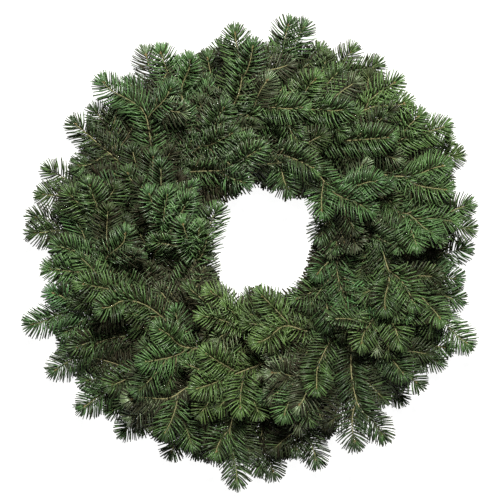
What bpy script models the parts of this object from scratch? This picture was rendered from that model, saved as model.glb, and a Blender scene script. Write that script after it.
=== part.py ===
"""Fir wreath: sprays of fir clamped round a wire ring frame.

The wreath lies on its back with its front up. X runs to the right and Y to the top of the wreath
as it is seen from the front, and the frame's flat underside is at Z = 0. Lengths are in metres,
except in the list of sprays, which is in millimetres and degrees.
"""
import math
import random

import bpy
import numpy as np

MM = 0.001
UP = np.array([0.0, 0.0, 1.0])

# Wire ring frame: two hoops joined by wire clamps that are folded over the stems.
RING_CENTRE = (5 * MM, 7 * MM)
INNER_HOOP_RADIUS = 138 * MM
OUTER_HOOP_RADIUS = 165 * MM
HOOP_WIRE_RADIUS = 1.8 * MM
HOOP_SIDES = 6
HOOP_SEGMENTS = 38
CLAMP_COUNT = 19
CLAMP_HALF_THICKNESS = 1.2 * MM
CLAMP_CORNER = 2.4 * MM
STEMS_PER_CLAMP = 3
STEM_PITCH = 7.6 * MM

# Fir wood: three-sided stems and twigs that turn sixty degrees from ring to ring.
STEM_RADIUS = 2.4 * MM
FORK_RADIUS = 1.7 * MM
TIP_RADIUS = 1.2 * MM
SIDES = 3
HEEL_HALF_LENGTH = 10 * MM
HEEL_RINGS = 3
BARE_SPACING = 17 * MM
RING_SPACING = 11.1 * MM
CLAD_STEM = 34 * MM
LEADER_LENGTH = 60 * MM
SIDE_TWIG_LENGTH = 48 * MM
TIP_NEEDLE_REACH = 8 * MM
STEM_LEAD = math.radians(30)
LOWEST_FORK = 13 * MM
LOWEST_TIP = 14 * MM
RISE_FROM_CLAMP = 0.35
RISE_AT_FORK = 0.15
RISE_AT_TIP = 0.12
SIDE_TWIG_RADIUS = 1.45 * MM
SIDE_TWIG_SPREAD = math.radians(53)
SOCKET_LENGTH = 3.1 * MM

# Needles: three-sided, true to size, raised from the wood.
NEEDLE_LENGTH = 24 * MM
NEEDLE_BASE = 2.2 * MM
NEEDLE_LEAN = math.radians(54)
TIP_NEEDLE_LEAN = math.radians(26)
NEEDLE_RADIUS = 1.0 * MM
NEEDLE_LEAN_SPREAD = 0.09
NEEDLE_SWING = 0.22
NEEDLE_LENGTH_SPREAD = (0.92, 1.06)
# Share of the length and extra lean that are tried in turn until a needle lies clear.
NEEDLE_TRIES = ((1.0, 0.0), (1.0, -0.16), (0.85, 0.12), (0.65, 0.0), (0.65, -0.2))

# The foliage is domed, highest a little outside the ring's middle.
DOME_HEIGHT = 100 * MM
DOME_PEAK_RADIUS = 180 * MM
DOME_REACH = 195 * MM
FORK_HEIGHT_SHARE = 0.62

GAP = 0.3 * MM
CLEARANCE = 0.5 * MM
LOWEST_NEEDLE = 1.0 * MM
FAR = 1.0
WIRE_OWNER = -1
SMOOTH_ANGLE = math.radians(50)

# Each spray is a row of its twigs' tips, leader first: x, y and heading. The heading is a compass
# bearing on the wreath's face, 0 towards its top and 90 towards its right.
FRONT_SPRAYS = (
    ((50, 305, 20), (72, 300, 38)),
    ((70, 188, 80), (25, 228, 42)),
    ((128, 189, 69), (87, 229, 50)),
    ((205, 197, 70), (192, 226, 58)),
    ((183, 149, 88),),
    ((256, 167, 70), (221, 183, 45)),
    ((255, 113, 90), (257, 82, 96)),
    ((166, 94, 85), (156, 53, 122), (92, 48, 170)),
    ((213, 6, 160), (240, 24, 110)),
    ((172, -77, 170), (210, -71, 160)),
    ((286, -122, 128), (246, -90, 150)),
    ((140, -123, 182), (190, -120, 170)),
    ((199, -161, 145), (220, -172, 125)),
    ((160, -244, 158), (121, -251, 168)),
    ((82, -180, 185), (56, -200, 222)),
    ((18, -155, 258), (39, -214, 195)),
    ((1, -115, 262), (8, -50, 315)),
    ((-20, -304, 182), (-48, -264, 190)),
    ((-77, -175, 255), (-64, -125, 305), (-14, -206, 175)),
    ((-39, -64, 312), (-61, -47, 295), (-70, -80, 275)),
    ((-126, -94, 290), (-144, -141, 258)),
    ((-163, -190, 252), (-116, -237, 212)),
    ((-200, -70, 272), (-225, -37, 285)),
    ((-295, -94, 262), (-265, -49, 286)),
    ((-257, 11, 284), (-163, 33, 355), (-269, -19, 275)),
    ((-239, 83, 326), (-212, 95, 342)),
    ((-133, 83, 350), (-107, 83, 15), (-76, 76, 38)),
    ((-69, 41, 0), (-92, 45, 340), (-42, 62, 35)),
    ((-198, 228, 322), (-104, 220, 12)),
    ((-81, 256, 355), (-120, 268, 345)),
    ((-31, 194, 40), (-20, 158, 62)),
    ((17, 138, 64), (-3, 90, 108)),
    ((52, 77, 142), (86, 106, 118)),
    ((-16, 290, 358), (8, 270, 10)),
)
MIDDLE_SPRAYS = (
    ((289, 63, 84), (291, 32, 95)),
    ((187, 8, 122), (123, 6, 165), (88, 15, 195)),
    ((125, -80, 172), (82, -32, 215)),
    ((100, -100, 185), (52, -62, 250)),
    ((260, -125, 103), (248, -146, 128)),
    ((-226, -207, 230), (-190, -175, 252)),
    ((-57, -2, 20), (-42, -48, 80)),
    ((-294, 28, 274), (-292, 50, 288)),
    ((-238, 174, 306), (-233, 118, 290), (-208, 192, 326)),
    ((-164, 111, 342), (-128, 132, 5)),
    ((-86, 194, 18), (-55, 223, 12)),
    ((-39, 277, 358), (-60, 262, 345)),
    ((-265, -157, 240), (-237, -125, 250)),
    ((86, -279, 170), (58, -264, 182)),
)
BACK_SPRAYS = (
    ((170, 255, 45), (134, 275, 25), (92, 275, 20)),
    ((278, 132, 75), (264, 152, 60)),
    ((277, -33, 88), (279, -62, 98), (288, 8, 78)),
    ((200, -196, 142), (177, -188, 158)),
    ((30, -297, 165), (10, -292, 182)),
    ((-74, -268, 188), (-109, -270, 200)),
    ((-174, -239, 235), (-192, -210, 248)),
    ((-283, 80, 285), (-274, 114, 298)),
    ((-164, 230, 335), (-143, 271, 342)),
)
# Share of the dome's height that each layer's tips reach.
LAYERS = (
    ("front", 0.90, FRONT_SPRAYS),
    ("middle", 0.58, MIDDLE_SPRAYS),
    ("back", 0.27, BACK_SPRAYS),
)
# Height shifts that are tried, in millimetres, until a spray's wood lies clear of the others.
HEIGHT_SHIFTS = (0, 4, -4, 8, -8, 12, -12, 16, -16, 20, 24, 28)
SIDE_SHIFTS = (0, 6, -6, 12, -12)

NEEDLE_COLOURS = {
    "front": (0.030, 0.085, 0.028),
    "middle": (0.024, 0.070, 0.024),
    "back": (0.018, 0.052, 0.020),
}
NEEDLE_ROUGHNESS = 0.45
WIRE_COLOUR = (0.016, 0.045, 0.022)
WIRE_ROUGHNESS = 0.4
WIRE_METALLIC = 0.6


def clear_scene():
    for item in list(bpy.data.objects):
        bpy.data.objects.remove(item, do_unlink=True)


def unit(vector):
    return vector / np.linalg.norm(vector)


def heading_vector(heading, rise=0.0):
    """Unit vector for a compass heading on the face, tipped up by a rise."""
    angle = math.radians(heading)
    return unit(np.array([math.sin(angle), math.cos(angle), rise]))


def right_of(way):
    """Level vector that points to the right of a direction as seen from the front."""
    return np.array([way[1], -way[0], 0])


def outward_at(bearing):
    """Level unit vector that points out from the ring's centre at a bearing."""
    return np.array([math.sin(bearing), math.cos(bearing), 0])


def ring_point(bearing, radius, height):
    """Point at a bearing and radius round the ring's centre."""
    return np.array([*RING_CENTRE, height]) + radius * outward_at(bearing)


def bearing_of(point):
    return math.atan2(point[0] - RING_CENTRE[0], point[1] - RING_CENTRE[1])


def dome_height(x, y):
    radius = math.hypot(x - RING_CENTRE[0], y - RING_CENTRE[1])
    return DOME_HEIGHT * (1 - ((radius - DOME_PEAK_RADIUS) / DOME_REACH) ** 2)


def hermite(start, start_way, end, end_way, steps=24):
    """Smooth curve between two points that leaves and arrives along the given directions."""
    reach = np.linalg.norm(end - start)
    t = np.linspace(0, 1, steps)[:, None]
    return (
        (2 * t**3 - 3 * t**2 + 1) * start
        + (t**3 - 2 * t**2 + t) * reach * start_way
        + (3 * t**2 - 2 * t**3) * end
        + (t**3 - t**2) * reach * end_way
    )


def lengths_along(path):
    steps = np.linalg.norm(np.diff(path, axis=0), axis=1)
    return np.concatenate([[0.0], np.cumsum(steps)])


def points_at(path, places):
    """Points of a path at the given lengths along it."""
    along = lengths_along(path)
    return np.stack([np.interp(places, along, path[:, axis]) for axis in range(3)], axis=1)


def even_places(start, end, spacing):
    """Places from start up to end, as near to the spacing as divides the stretch."""
    count = max(1, round((end - start) / spacing))
    return list(np.linspace(start, end, count + 1))


def heel_height():
    """Height of a stem's middle where a corner of it rests on the clamp's lower bar."""
    hoop_middle = HOOP_WIRE_RADIUS * math.cos(math.pi / HOOP_SIDES)
    return hoop_middle + CLAMP_HALF_THICKNESS + GAP + STEM_RADIUS


def twig_length(index):
    return LEADER_LENGTH if index == 0 else SIDE_TWIG_LENGTH


def fork_place(tips):
    """Where a spray's twigs part, on the face, found by going back from their tips."""
    backs = []
    for index, (x, y, heading) in enumerate(tips):
        tip = np.array([x * MM, y * MM, 0])
        backs.append(tip - twig_length(index) * heading_vector(heading))
    return np.mean(backs, axis=0)


def mean_heading(tips):
    total = sum(heading_vector(heading) for _, _, heading in tips)
    return unit(total)


def list_sprays():
    """All sprays in order round the ring, each with its clamp and its lane under the clamp."""
    sprays = []
    for layer, share, rows in LAYERS:
        for tips in rows:
            fork = fork_place(tips)
            bearing = bearing_of(fork) % math.tau
            spray = {"layer": layer, "share": share, "tips": tips, "fork": fork, "bearing": bearing}
            sprays.append(spray)
    sprays.sort(key=lambda spray: spray["bearing"])
    for clamp in range(CLAMP_COUNT):
        group = sprays[clamp * STEMS_PER_CLAMP:(clamp + 1) * STEMS_PER_CLAMP]
        group.sort(key=lambda spray: np.hypot(spray["fork"][0], spray["fork"][1]))
        for lane, spray in enumerate(group):
            spray["clamp"] = clamp
            spray["lane"] = lane
    return sprays


def clamp_bearing(clamp):
    return (clamp + 0.5) * math.tau / CLAMP_COUNT - STEM_LEAD


def lane_radius(lane):
    middle = (INNER_HOOP_RADIUS + OUTER_HOOP_RADIUS) / 2
    return middle + (lane - 1) * STEM_PITCH


def tip_point(spray, index, lift, shift):
    """End of a twig's wood, with the direction that it arrives in."""
    x, y, heading = spray["tips"][index]
    way = heading_vector(heading, rise=RISE_AT_TIP)
    height = spray["share"] * dome_height(x * MM, y * MM) + lift * MM
    tip = np.array([x * MM, y * MM, max(height, LOWEST_TIP)])
    return tip - TIP_NEEDLE_REACH * way + shift * MM * right_of(way), way


def leader_path(spray, lift, shift):
    """Stem and leader in one: out from under its clamp, up to the fork and on to the tip."""
    bearing = clamp_bearing(spray["clamp"])
    along_ring = right_of(outward_at(bearing))
    seat = ring_point(bearing, lane_radius(spray["lane"]), heel_height())
    heel = seat - HEEL_HALF_LENGTH * along_ring
    leave = seat + HEEL_HALF_LENGTH * along_ring
    fork = spray["fork"].copy()
    height = spray["share"] * FORK_HEIGHT_SHARE * dome_height(fork[0], fork[1])
    fork[2] = max(height + lift * MM, LOWEST_FORK)
    way = mean_heading(spray["tips"])
    fork += shift * MM * right_of(way)
    tip, tip_way = tip_point(spray, 0, lift, shift)
    rising = unit(way + np.array([0, 0, RISE_AT_FORK]))
    leaving = unit(along_ring + np.array([0, 0, RISE_FROM_CLAMP]))
    stem = hermite(leave, leaving, fork, rising)
    leader = hermite(fork, rising, tip, tip_way)
    path = np.concatenate([[heel], [seat], stem, leader[1:]])
    fork_at = lengths_along(path)[len(stem) + 1]
    return path, fork_at


def wood_rings(path, fork_at):
    """Places along a leader where its rings go: sparse on the bare stem, close where it is clad."""
    end = lengths_along(path)[-1]
    heel_end = 2 * HEEL_HALF_LENGTH
    clad_from = max(heel_end + BARE_SPACING, fork_at - CLAD_STEM)
    places = [0.0, HEEL_HALF_LENGTH]
    places += even_places(heel_end, clad_from, BARE_SPACING)
    places += even_places(clad_from, end, RING_SPACING)[1:]
    return np.array(places), clad_from


def taper(places, fork_at):
    """Radius of the wood at each place."""
    marks = [0, 2 * HEEL_HALF_LENGTH, fork_at, places[-1]]
    return np.interp(places, marks, [STEM_RADIUS, STEM_RADIUS, FORK_RADIUS, TIP_RADIUS])


def side_twig(spray, index, leader, fork_at, lift, shift):
    """A side twig's rings, from the leader's surface to its own tip."""
    rings = leader["rings"]
    tip, tip_way = tip_point(spray, index, lift, shift)
    nearest = np.argmin(np.abs(leader["places"] - fork_at))
    ring = int(nearest - (index - 1))
    along = unit(rings[ring + 1] - rings[ring])
    toward = tip - rings[ring]
    side = unit(toward - (toward @ along) * along)
    start = rings[ring] + leader["radii"][ring] / 2 * side
    leaving = math.cos(SIDE_TWIG_SPREAD) * along + math.sin(SIDE_TWIG_SPREAD) * side
    path = hermite(start, leaving, tip, tip_way)
    end = lengths_along(path)[-1]
    places = np.array(even_places(0, end, RING_SPACING))
    return {
        "rings": points_at(path, places), "places": places, "clad_from": RING_SPACING / 2,
        "radii": np.interp(places, [0, end], [SIDE_TWIG_RADIUS, TIP_RADIUS]),
        "parent_ring": ring, "side": side,
    }


def wood_of(spray, lift, shift):
    """Leader and side twigs of one spray, as rings of the wood."""
    path, fork_at = leader_path(spray, lift, shift)
    places, clad_from = wood_rings(path, fork_at)
    leader = {
        "rings": points_at(path, places), "radii": taper(places, fork_at), "places": places,
        "clad_from": clad_from, "parent_ring": None,
    }
    twigs = [leader]
    for index in range(1, len(spray["tips"])):
        twigs.append(side_twig(spray, index, leader, fork_at, lift, shift))
    return twigs


def gaps_between(start, end, radii, rods):
    """Clear space between one tapered rod and each of many: rods holds starts, ends and radii."""
    starts, ends, start_radii, end_radii = rods
    u = end - start
    v = ends - starts
    w = start - starts
    a = u @ u
    b = v @ u
    c = np.maximum((v * v).sum(axis=1), 1e-12)
    d = w @ u
    e = (v * w).sum(axis=1)
    spread = np.maximum(a * c - b * b, 1e-16)
    s = np.clip((b * e - c * d) / spread, 0, 1)
    for _ in range(3):
        t = np.clip((b * s + e) / c, 0, 1)
        s = np.clip((b * t - d) / a, 0, 1)
    apart = np.linalg.norm(w + s[:, None] * u - t[:, None] * v, axis=1)
    own = radii[0] + (radii[1] - radii[0]) * s
    others = start_radii + (end_radii - start_radii) * t
    return apart - own - others


class Rods:
    """Every wire, twig and needle laid so far, as tapered rods.

    An owner is the rod's spray, twig and ring, and whether it is a needle. Wires have spray -1.
    """

    def __init__(self):
        self.starts = np.zeros((0, 3))
        self.ends = np.zeros((0, 3))
        self.start_radii = np.zeros(0)
        self.end_radii = np.zeros(0)
        self.owners = np.zeros((0, 4), dtype=int)

    def add(self, start, end, start_radius, end_radius, owner):
        self.starts = np.vstack([self.starts, start])
        self.ends = np.vstack([self.ends, end])
        self.start_radii = np.append(self.start_radii, start_radius)
        self.end_radii = np.append(self.end_radii, end_radius)
        self.owners = np.vstack([self.owners, owner])

    def clear_space(self, start, end, radii, ignored):
        """Smallest gap from a rod to the rods laid so far, apart from the ignored ones."""
        rods = (self.starts, self.ends, self.start_radii, self.end_radii)
        gaps = gaps_between(start, end, radii, rods)
        return np.where(ignored(self.owners), FAR, gaps).min()


def nothing(owners):
    return np.zeros(len(owners), dtype=bool)


def wires(owners):
    return owners[:, 0] == WIRE_OWNER


def own_surroundings(owner):
    """What a needle may touch: the wood that it grows from, and its neighbours round the ring."""
    spray, twig, ring = owner

    def ignored(owners):
        same_twig = (owners[:, 0] == spray) & (owners[:, 1] == twig)
        steps = np.abs(owners[:, 2] - ring)
        return same_twig & (steps + owners[:, 3] <= 1)

    return ignored


def clamp_outline():
    """A clamp's path across the ring: radius and height of its corners."""
    low = HOOP_WIRE_RADIUS * math.cos(math.pi / HOOP_SIDES)
    high = heel_height() + STEM_RADIUS + GAP + CLAMP_HALF_THICKNESS
    inner = INNER_HOOP_RADIUS
    outer = OUTER_HOOP_RADIUS
    corner = CLAMP_CORNER
    return (
        (inner, low), (inner, high - corner), (inner + corner, high),
        (outer - corner, high), (outer, high - corner), (outer, low),
    )


def lay_frame_rods(rods):
    for radius in (INNER_HOOP_RADIUS, OUTER_HOOP_RADIUS):
        for step in range(HOOP_SEGMENTS):
            ends = [math.tau * (step + extra) / HOOP_SEGMENTS for extra in (0, 1)]
            a, b = (ring_point(bearing, radius, HOOP_WIRE_RADIUS) for bearing in ends)
            rods.add(a, b, HOOP_WIRE_RADIUS, HOOP_WIRE_RADIUS, (WIRE_OWNER, 0, step, 0))
    outline = clamp_outline()
    thickness = CLAMP_HALF_THICKNESS * math.sqrt(2)
    for clamp in range(CLAMP_COUNT):
        bearing = clamp_bearing(clamp)
        corners = [ring_point(bearing, radius, height) for radius, height in outline]
        for a, b in zip(corners, corners[1:] + corners[:1]):
            rods.add(a, b, thickness, thickness, (WIRE_OWNER, 1, clamp, 0))


def wood_space(spray, twigs, rods):
    """Smallest gap from a spray's wood to what is laid, its heel among the wires apart."""
    smallest = FAR
    for twig in twigs:
        rings, radii = twig["rings"], twig["radii"]
        for index in range(len(rings) - 1):
            in_frame = twig["parent_ring"] is None and index < HEEL_RINGS
            ignored = wires if in_frame else nothing
            pair = (radii[index], radii[index + 1])
            space = rods.clear_space(rings[index], rings[index + 1], pair, ignored)
            smallest = min(smallest, space)
    return smallest


def choose_wood(spray, rods):
    """The spray's wood at the first height and side shift where it lies clear of what is laid."""
    best = None
    for shift in SIDE_SHIFTS:
        for lift in HEIGHT_SHIFTS:
            twigs = wood_of(spray, lift, shift)
            space = wood_space(spray, twigs, rods)
            if best is None or space > best[0]:
                best = (space, twigs)
            if space > CLEARANCE:
                return twigs
    return best[1]


def lay_wood(number, twigs, rods):
    for twig_number, twig in enumerate(twigs):
        rings, radii = twig["rings"], twig["radii"]
        for index in range(len(rings) - 1):
            owner = (number, twig_number, index, 0)
            rods.add(rings[index], rings[index + 1], radii[index], radii[index + 1], owner)


def plan_wood():
    """Lay the wood of every spray, each clear of those before it, round the ring."""
    rods = Rods()
    lay_frame_rods(rods)
    sprays = list_sprays()
    for number, spray in enumerate(sprays):
        spray["number"] = number
        spray["twigs"] = choose_wood(spray, rods)
        lay_wood(number, spray["twigs"], rods)
    return sprays, rods


class Growth:
    """Vertices and faces of one spray as it grows, among the rods that it keeps clear of."""

    def __init__(self, spray, rods):
        self.spray = spray
        self.rods = rods
        self.draw = random.Random(spray["number"])
        self.points = []
        self.faces = []

    def add_point(self, point):
        self.points.append(np.array(point, dtype=float))
        return len(self.points) - 1

    def places(self, *indices):
        return [self.points[index] for index in indices]


def corner_frame(along):
    """Two unit vectors square to a direction, the first as near as can be to straight up."""
    first = unit(UP - (UP @ along) * along)
    return first, np.cross(along, first)


def ring_of(growth, centre, along, turn, radius):
    """Corners round a centre, counter-clockwise seen against the direction of growth."""
    first, second = corner_frame(along)
    corners = []
    for side in range(SIDES):
        angle = turn + math.tau * side / SIDES
        offset = math.cos(angle) * first + math.sin(angle) * second
        corners.append(growth.add_point(centre + radius * offset))
    return corners


def directions(rings):
    ways = np.gradient(rings, axis=0)
    return ways / np.linalg.norm(ways, axis=1)[:, None]


def base_corner(growth, a, b, c, length):
    """Third corner of a small base beside edge ab of triangle abc."""
    pa, pb, pc = growth.places(a, b, c)
    edge = (pa + pb) / 2
    return edge + length * unit(pc - edge)


def needle_apex(growth, base, along, lean, owner):
    """Point of a needle on a base that lies clear of everything laid, or None."""
    pa, pb, pm = base
    normal = np.cross(pb - pa, pm - pa)
    outward = unit(normal - (normal @ along) * along)
    across = np.cross(along, outward)
    root = (pa + pb + pm) / 3
    ignored = own_surroundings(owner)
    draw = growth.draw
    for length_share, extra_lean in NEEDLE_TRIES:
        tilt = lean + extra_lean + draw.uniform(-NEEDLE_LEAN_SPREAD, NEEDLE_LEAN_SPREAD)
        swing = draw.uniform(-NEEDLE_SWING, NEEDLE_SWING)
        out = math.cos(swing) * outward + math.sin(swing) * across
        way = math.cos(tilt) * along + math.sin(tilt) * out
        apex = root + NEEDLE_LENGTH * length_share * draw.uniform(*NEEDLE_LENGTH_SPREAD) * way
        clear = growth.rods.clear_space(root, apex, (NEEDLE_RADIUS, 0), ignored) > CLEARANCE
        if clear and apex[2] > LOWEST_NEEDLE:
            growth.rods.add(root, apex, NEEDLE_RADIUS, 0, (*owner, 1))
            return apex
    return None


def close_with_needle(growth, corners, along, lean, owner):
    """Close triangle abc, with a needle beside its edge ab where one has room."""
    a, b, c = corners
    middle = base_corner(growth, a, b, c, NEEDLE_BASE)
    apex = needle_apex(growth, growth.places(a, b) + [middle], along, lean, owner)
    if apex is None:
        growth.faces.append((a, b, c))
        return
    m = growth.add_point(middle)
    p = growth.add_point(apex)
    growth.faces += [(a, b, p), (b, m, p), (m, a, p), (b, c, m), (c, a, m)]


def open_socket(growth, a, b, c):
    """Base triangle for a side twig beside edge ab, with the rest of abc closed."""
    m = growth.add_point(base_corner(growth, a, b, c, SOCKET_LENGTH))
    growth.faces += [(b, c, m), (c, a, m)]
    return (a, b, m)


def facing_turn(growth, base, centre, along):
    """Turn of a side twig's first own ring that sets its corners against its base's."""
    first, second = corner_frame(along)
    turns = []
    for side, point in enumerate(growth.places(*base)):
        offset = point - centre
        turns.append(math.atan2(offset @ second, offset @ first) - math.tau * side / SIDES)
    return math.atan2(sum(map(math.sin, turns)), sum(map(math.cos, turns)))


def first_ring(growth, twig, ways, base):
    """The ring that a twig starts from, and its turn: a stem's cut end, or a side twig's base."""
    if base is not None:
        return list(base), facing_turn(growth, base, twig["rings"][1], ways[1])
    ring = ring_of(growth, twig["rings"][0], ways[0], 0.0, twig["radii"][0])
    growth.faces.append((ring[0], ring[2], ring[1]))
    return ring, 0.0


def next_ring(growth, twig, ways, index, turn):
    """The ring after a given one, or the twig's point, at its end."""
    if index == len(twig["rings"]) - 2:
        return [growth.add_point(twig["rings"][-1])] * SIDES
    return ring_of(growth, twig["rings"][index + 1], ways[index + 1], turn, twig["radii"][index + 1])


def sockets_in(growth, twig_number, index, ring, following):
    """Side of the stem for each side twig that leaves it at a ring: the one facing its way."""
    sockets = {}
    for number, twig in enumerate(growth.spray["twigs"]):
        if twig_number == 0 and twig["parent_ring"] == index:
            def facing(side, way=twig["side"]):
                pa, pb, pc = growth.places(ring[side], ring[(side + 1) % SIDES], following[side])
                return unit(np.cross(pb - pa, pc - pa)) @ way

            sockets[max(range(SIDES), key=facing)] = number
    return sockets


def grow_twig(growth, twig_number, base=None):
    """Skin one twig with its needles, and grow the side twigs that leave it."""
    number = growth.spray["number"]
    twig = growth.spray["twigs"][twig_number]
    ways = directions(twig["rings"])
    ring, turn = first_ring(growth, twig, ways, base)
    last = len(twig["rings"]) - 2
    for index in range(last + 1):
        turn += math.pi / SIDES
        following = next_ring(growth, twig, ways, index, turn)
        sockets = sockets_in(growth, twig_number, index, ring, following)
        lean = TIP_NEEDLE_LEAN if index == last else NEEDLE_LEAN
        for side in range(SIDES):
            a, b, c = ring[side], ring[(side + 1) % SIDES], following[side]
            if side in sockets:
                grow_twig(growth, sockets[side], open_socket(growth, a, b, c))
            elif twig["places"][index] >= twig["clad_from"]:
                owner = (number, twig_number, index)
                close_with_needle(growth, (a, b, c), ways[index], lean, owner)
            else:
                growth.faces.append((a, b, c))
            if index < last:
                growth.faces.append((b, following[(side + 1) % SIDES], c))
        ring = following


def add_mesh_object(name, points, faces, material):
    mesh = bpy.data.meshes.new(name)
    mesh.from_pydata([tuple(point) for point in points], [], faces)
    mesh.update()
    mesh.shade_smooth()
    mesh.set_sharp_from_angle(angle=SMOOTH_ANGLE)
    item = bpy.data.objects.new(name, mesh)
    bpy.context.scene.collection.objects.link(item)
    mesh.materials.append(material)
    return item


def plain_material(name, colour, roughness, metallic=0.0):
    material = bpy.data.materials.new(name)
    material.use_nodes = True
    shader = material.node_tree.nodes["Principled BSDF"]
    shader.inputs["Base Color"].default_value = (*colour, 1.0)
    shader.inputs["Roughness"].default_value = roughness
    shader.inputs["Metallic"].default_value = metallic
    material.diffuse_color = (*colour, 1.0)
    return material


def tube_loop(name, centres, outs, ups, half_width, sides, turn, material):
    """Closed loop of wire: a polygon section carried round a closed path."""
    points = []
    faces = []
    count = len(centres)
    for centre, out, up in zip(centres, outs, ups):
        for side in range(sides):
            angle = turn + math.tau * side / sides
            points.append(centre + half_width * (math.cos(angle) * out + math.sin(angle) * up))
    for step in range(count):
        for side in range(sides):
            a = step * sides + side
            b = step * sides + (side + 1) % sides
            c = ((step + 1) % count) * sides + (side + 1) % sides
            d = ((step + 1) % count) * sides + side
            faces.append((a, b, c, d))
    return add_mesh_object(name, points, faces, material)


def build_hoop(name, radius, material):
    """One hoop, with a flat side of its wire down."""
    height = HOOP_WIRE_RADIUS * math.cos(math.pi / HOOP_SIDES)
    bearings = [math.tau * step / HOOP_SEGMENTS for step in range(HOOP_SEGMENTS)]
    centres = [ring_point(bearing, radius, height) for bearing in bearings]
    outs = [outward_at(bearing) for bearing in bearings]
    ups = [UP] * HOOP_SEGMENTS
    return tube_loop(name, centres, outs, ups, HOOP_WIRE_RADIUS, HOOP_SIDES, 0.0, material)


def build_clamp(name, clamp, material):
    """One clamp: a square wire loop across both hoops, closed over the stems."""
    bearing = clamp_bearing(clamp)
    outward = outward_at(bearing)
    along_ring = right_of(outward)
    outline = clamp_outline()
    count = len(outline)
    centres = [ring_point(bearing, radius, height) for radius, height in outline]
    outs = []
    for index in range(count):
        before = np.array(outline[index]) - np.array(outline[index - 1])
        after = np.array(outline[(index + 1) % count]) - np.array(outline[index])
        before, after = unit(before), unit(after)
        mitre = np.array([-before[1] - after[1], before[0] + after[0]])
        mitre = mitre / (1 + before @ after)
        outs.append(mitre[0] * outward + mitre[1] * UP)
    half = CLAMP_HALF_THICKNESS * math.sqrt(2)
    return tube_loop(name, centres, outs, [along_ring] * count, half, 4, math.pi / 4, material)


def build_frame():
    """Hoops and clamps, joined into one welded wire frame."""
    material = plain_material("green_wire", WIRE_COLOUR, WIRE_ROUGHNESS, WIRE_METALLIC)
    frame = build_hoop("ring_frame", OUTER_HOOP_RADIUS, material)
    rest = bpy.data.collections.new("frame_wires")
    bpy.context.scene.collection.children.link(rest)
    wires = [build_hoop("inner_hoop", INNER_HOOP_RADIUS, material)]
    wires += [build_clamp(f"clamp_{clamp}", clamp, material) for clamp in range(CLAMP_COUNT)]
    for wire in wires:
        bpy.context.scene.collection.objects.unlink(wire)
        rest.objects.link(wire)
    union = frame.modifiers.new("weld", "BOOLEAN")
    union.operation = "UNION"
    union.operand_type = "COLLECTION"
    union.collection = rest
    union.solver = "MANIFOLD"
    bpy.context.view_layer.objects.active = frame
    frame.select_set(True)
    bpy.ops.object.modifier_apply(modifier="weld")
    for wire in wires:
        bpy.data.objects.remove(wire, do_unlink=True)
    bpy.data.collections.remove(rest)
    frame.data.shade_smooth()
    frame.data.set_sharp_from_angle(angle=SMOOTH_ANGLE)
    return frame


def build_spray(spray, rods):
    growth = Growth(spray, rods)
    grow_twig(growth, 0)
    name = f"fir_spray_{spray['number'] + 1:02d}"
    material = plain_material(f"{name}_green", NEEDLE_COLOURS[spray["layer"]], NEEDLE_ROUGHNESS)
    return add_mesh_object(name, growth.points, growth.faces, material)


def centre_on_origin(items):
    """Shift every mesh so that the whole wreath's box is centred on the Z axis."""
    corners = np.concatenate([[vertex.co[:] for vertex in item.data.vertices] for item in items])
    middle = (corners.min(axis=0) + corners.max(axis=0)) / 2
    for item in items:
        for vertex in item.data.vertices:
            vertex.co.x -= middle[0]
            vertex.co.y -= middle[1]
        item.data.update()


def build_wreath():
    clear_scene()
    sprays, rods = plan_wood()
    items = [build_frame()]
    layer_order = {layer: place for place, (layer, _, _) in enumerate(LAYERS)}
    for spray in sorted(sprays, key=lambda one: (layer_order[one["layer"]], one["number"])):
        items.append(build_spray(spray, rods))
    centre_on_origin(items)


build_wreath()
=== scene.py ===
"""Looks of the fir wreath: needle-clad twigs, bark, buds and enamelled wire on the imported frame.

The wreath lies on its back with its front up, and the camera looks down on it. X runs to its
right, Y to its top and Z out of its front, and lengths are in metres. The wood of every spray
follows the same plan as the frame's own sprays, from a list in millimetres and degrees that is
measured from the middle of the wreath's outline.
"""
import math

import bpy
import numpy as np
from mathutils import Matrix, Vector


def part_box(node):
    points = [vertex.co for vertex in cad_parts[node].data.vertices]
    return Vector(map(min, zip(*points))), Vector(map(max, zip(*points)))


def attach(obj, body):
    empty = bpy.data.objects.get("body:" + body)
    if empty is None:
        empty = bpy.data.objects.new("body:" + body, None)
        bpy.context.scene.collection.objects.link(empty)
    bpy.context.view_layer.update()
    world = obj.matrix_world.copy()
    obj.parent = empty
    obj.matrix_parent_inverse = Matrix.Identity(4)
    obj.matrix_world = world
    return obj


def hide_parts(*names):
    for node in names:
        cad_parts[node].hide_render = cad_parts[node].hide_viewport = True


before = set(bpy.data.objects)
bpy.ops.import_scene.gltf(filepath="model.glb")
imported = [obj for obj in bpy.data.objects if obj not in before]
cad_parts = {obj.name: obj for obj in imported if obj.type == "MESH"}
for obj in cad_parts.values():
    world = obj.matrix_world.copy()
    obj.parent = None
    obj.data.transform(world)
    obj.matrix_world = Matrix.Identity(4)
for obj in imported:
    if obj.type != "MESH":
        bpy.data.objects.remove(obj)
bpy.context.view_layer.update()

MM = 0.001
UP = np.array([0.0, 0.0, 1.0])

# Wire ring frame: two hoops joined by wire clamps that are folded over the stems.
RING_CENTRE = (5 * MM, 7 * MM)
INNER_HOOP_RADIUS = 138 * MM
OUTER_HOOP_RADIUS = 165 * MM
HOOP_WIRE_RADIUS = 1.8 * MM
HOOP_SIDES = 6
HOOP_SEGMENTS = 38
CLAMP_COUNT = 19
CLAMP_HALF_THICKNESS = 1.2 * MM
CLAMP_CORNER = 2.4 * MM
STEMS_PER_CLAMP = 3
STEM_PITCH = 7.6 * MM

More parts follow.
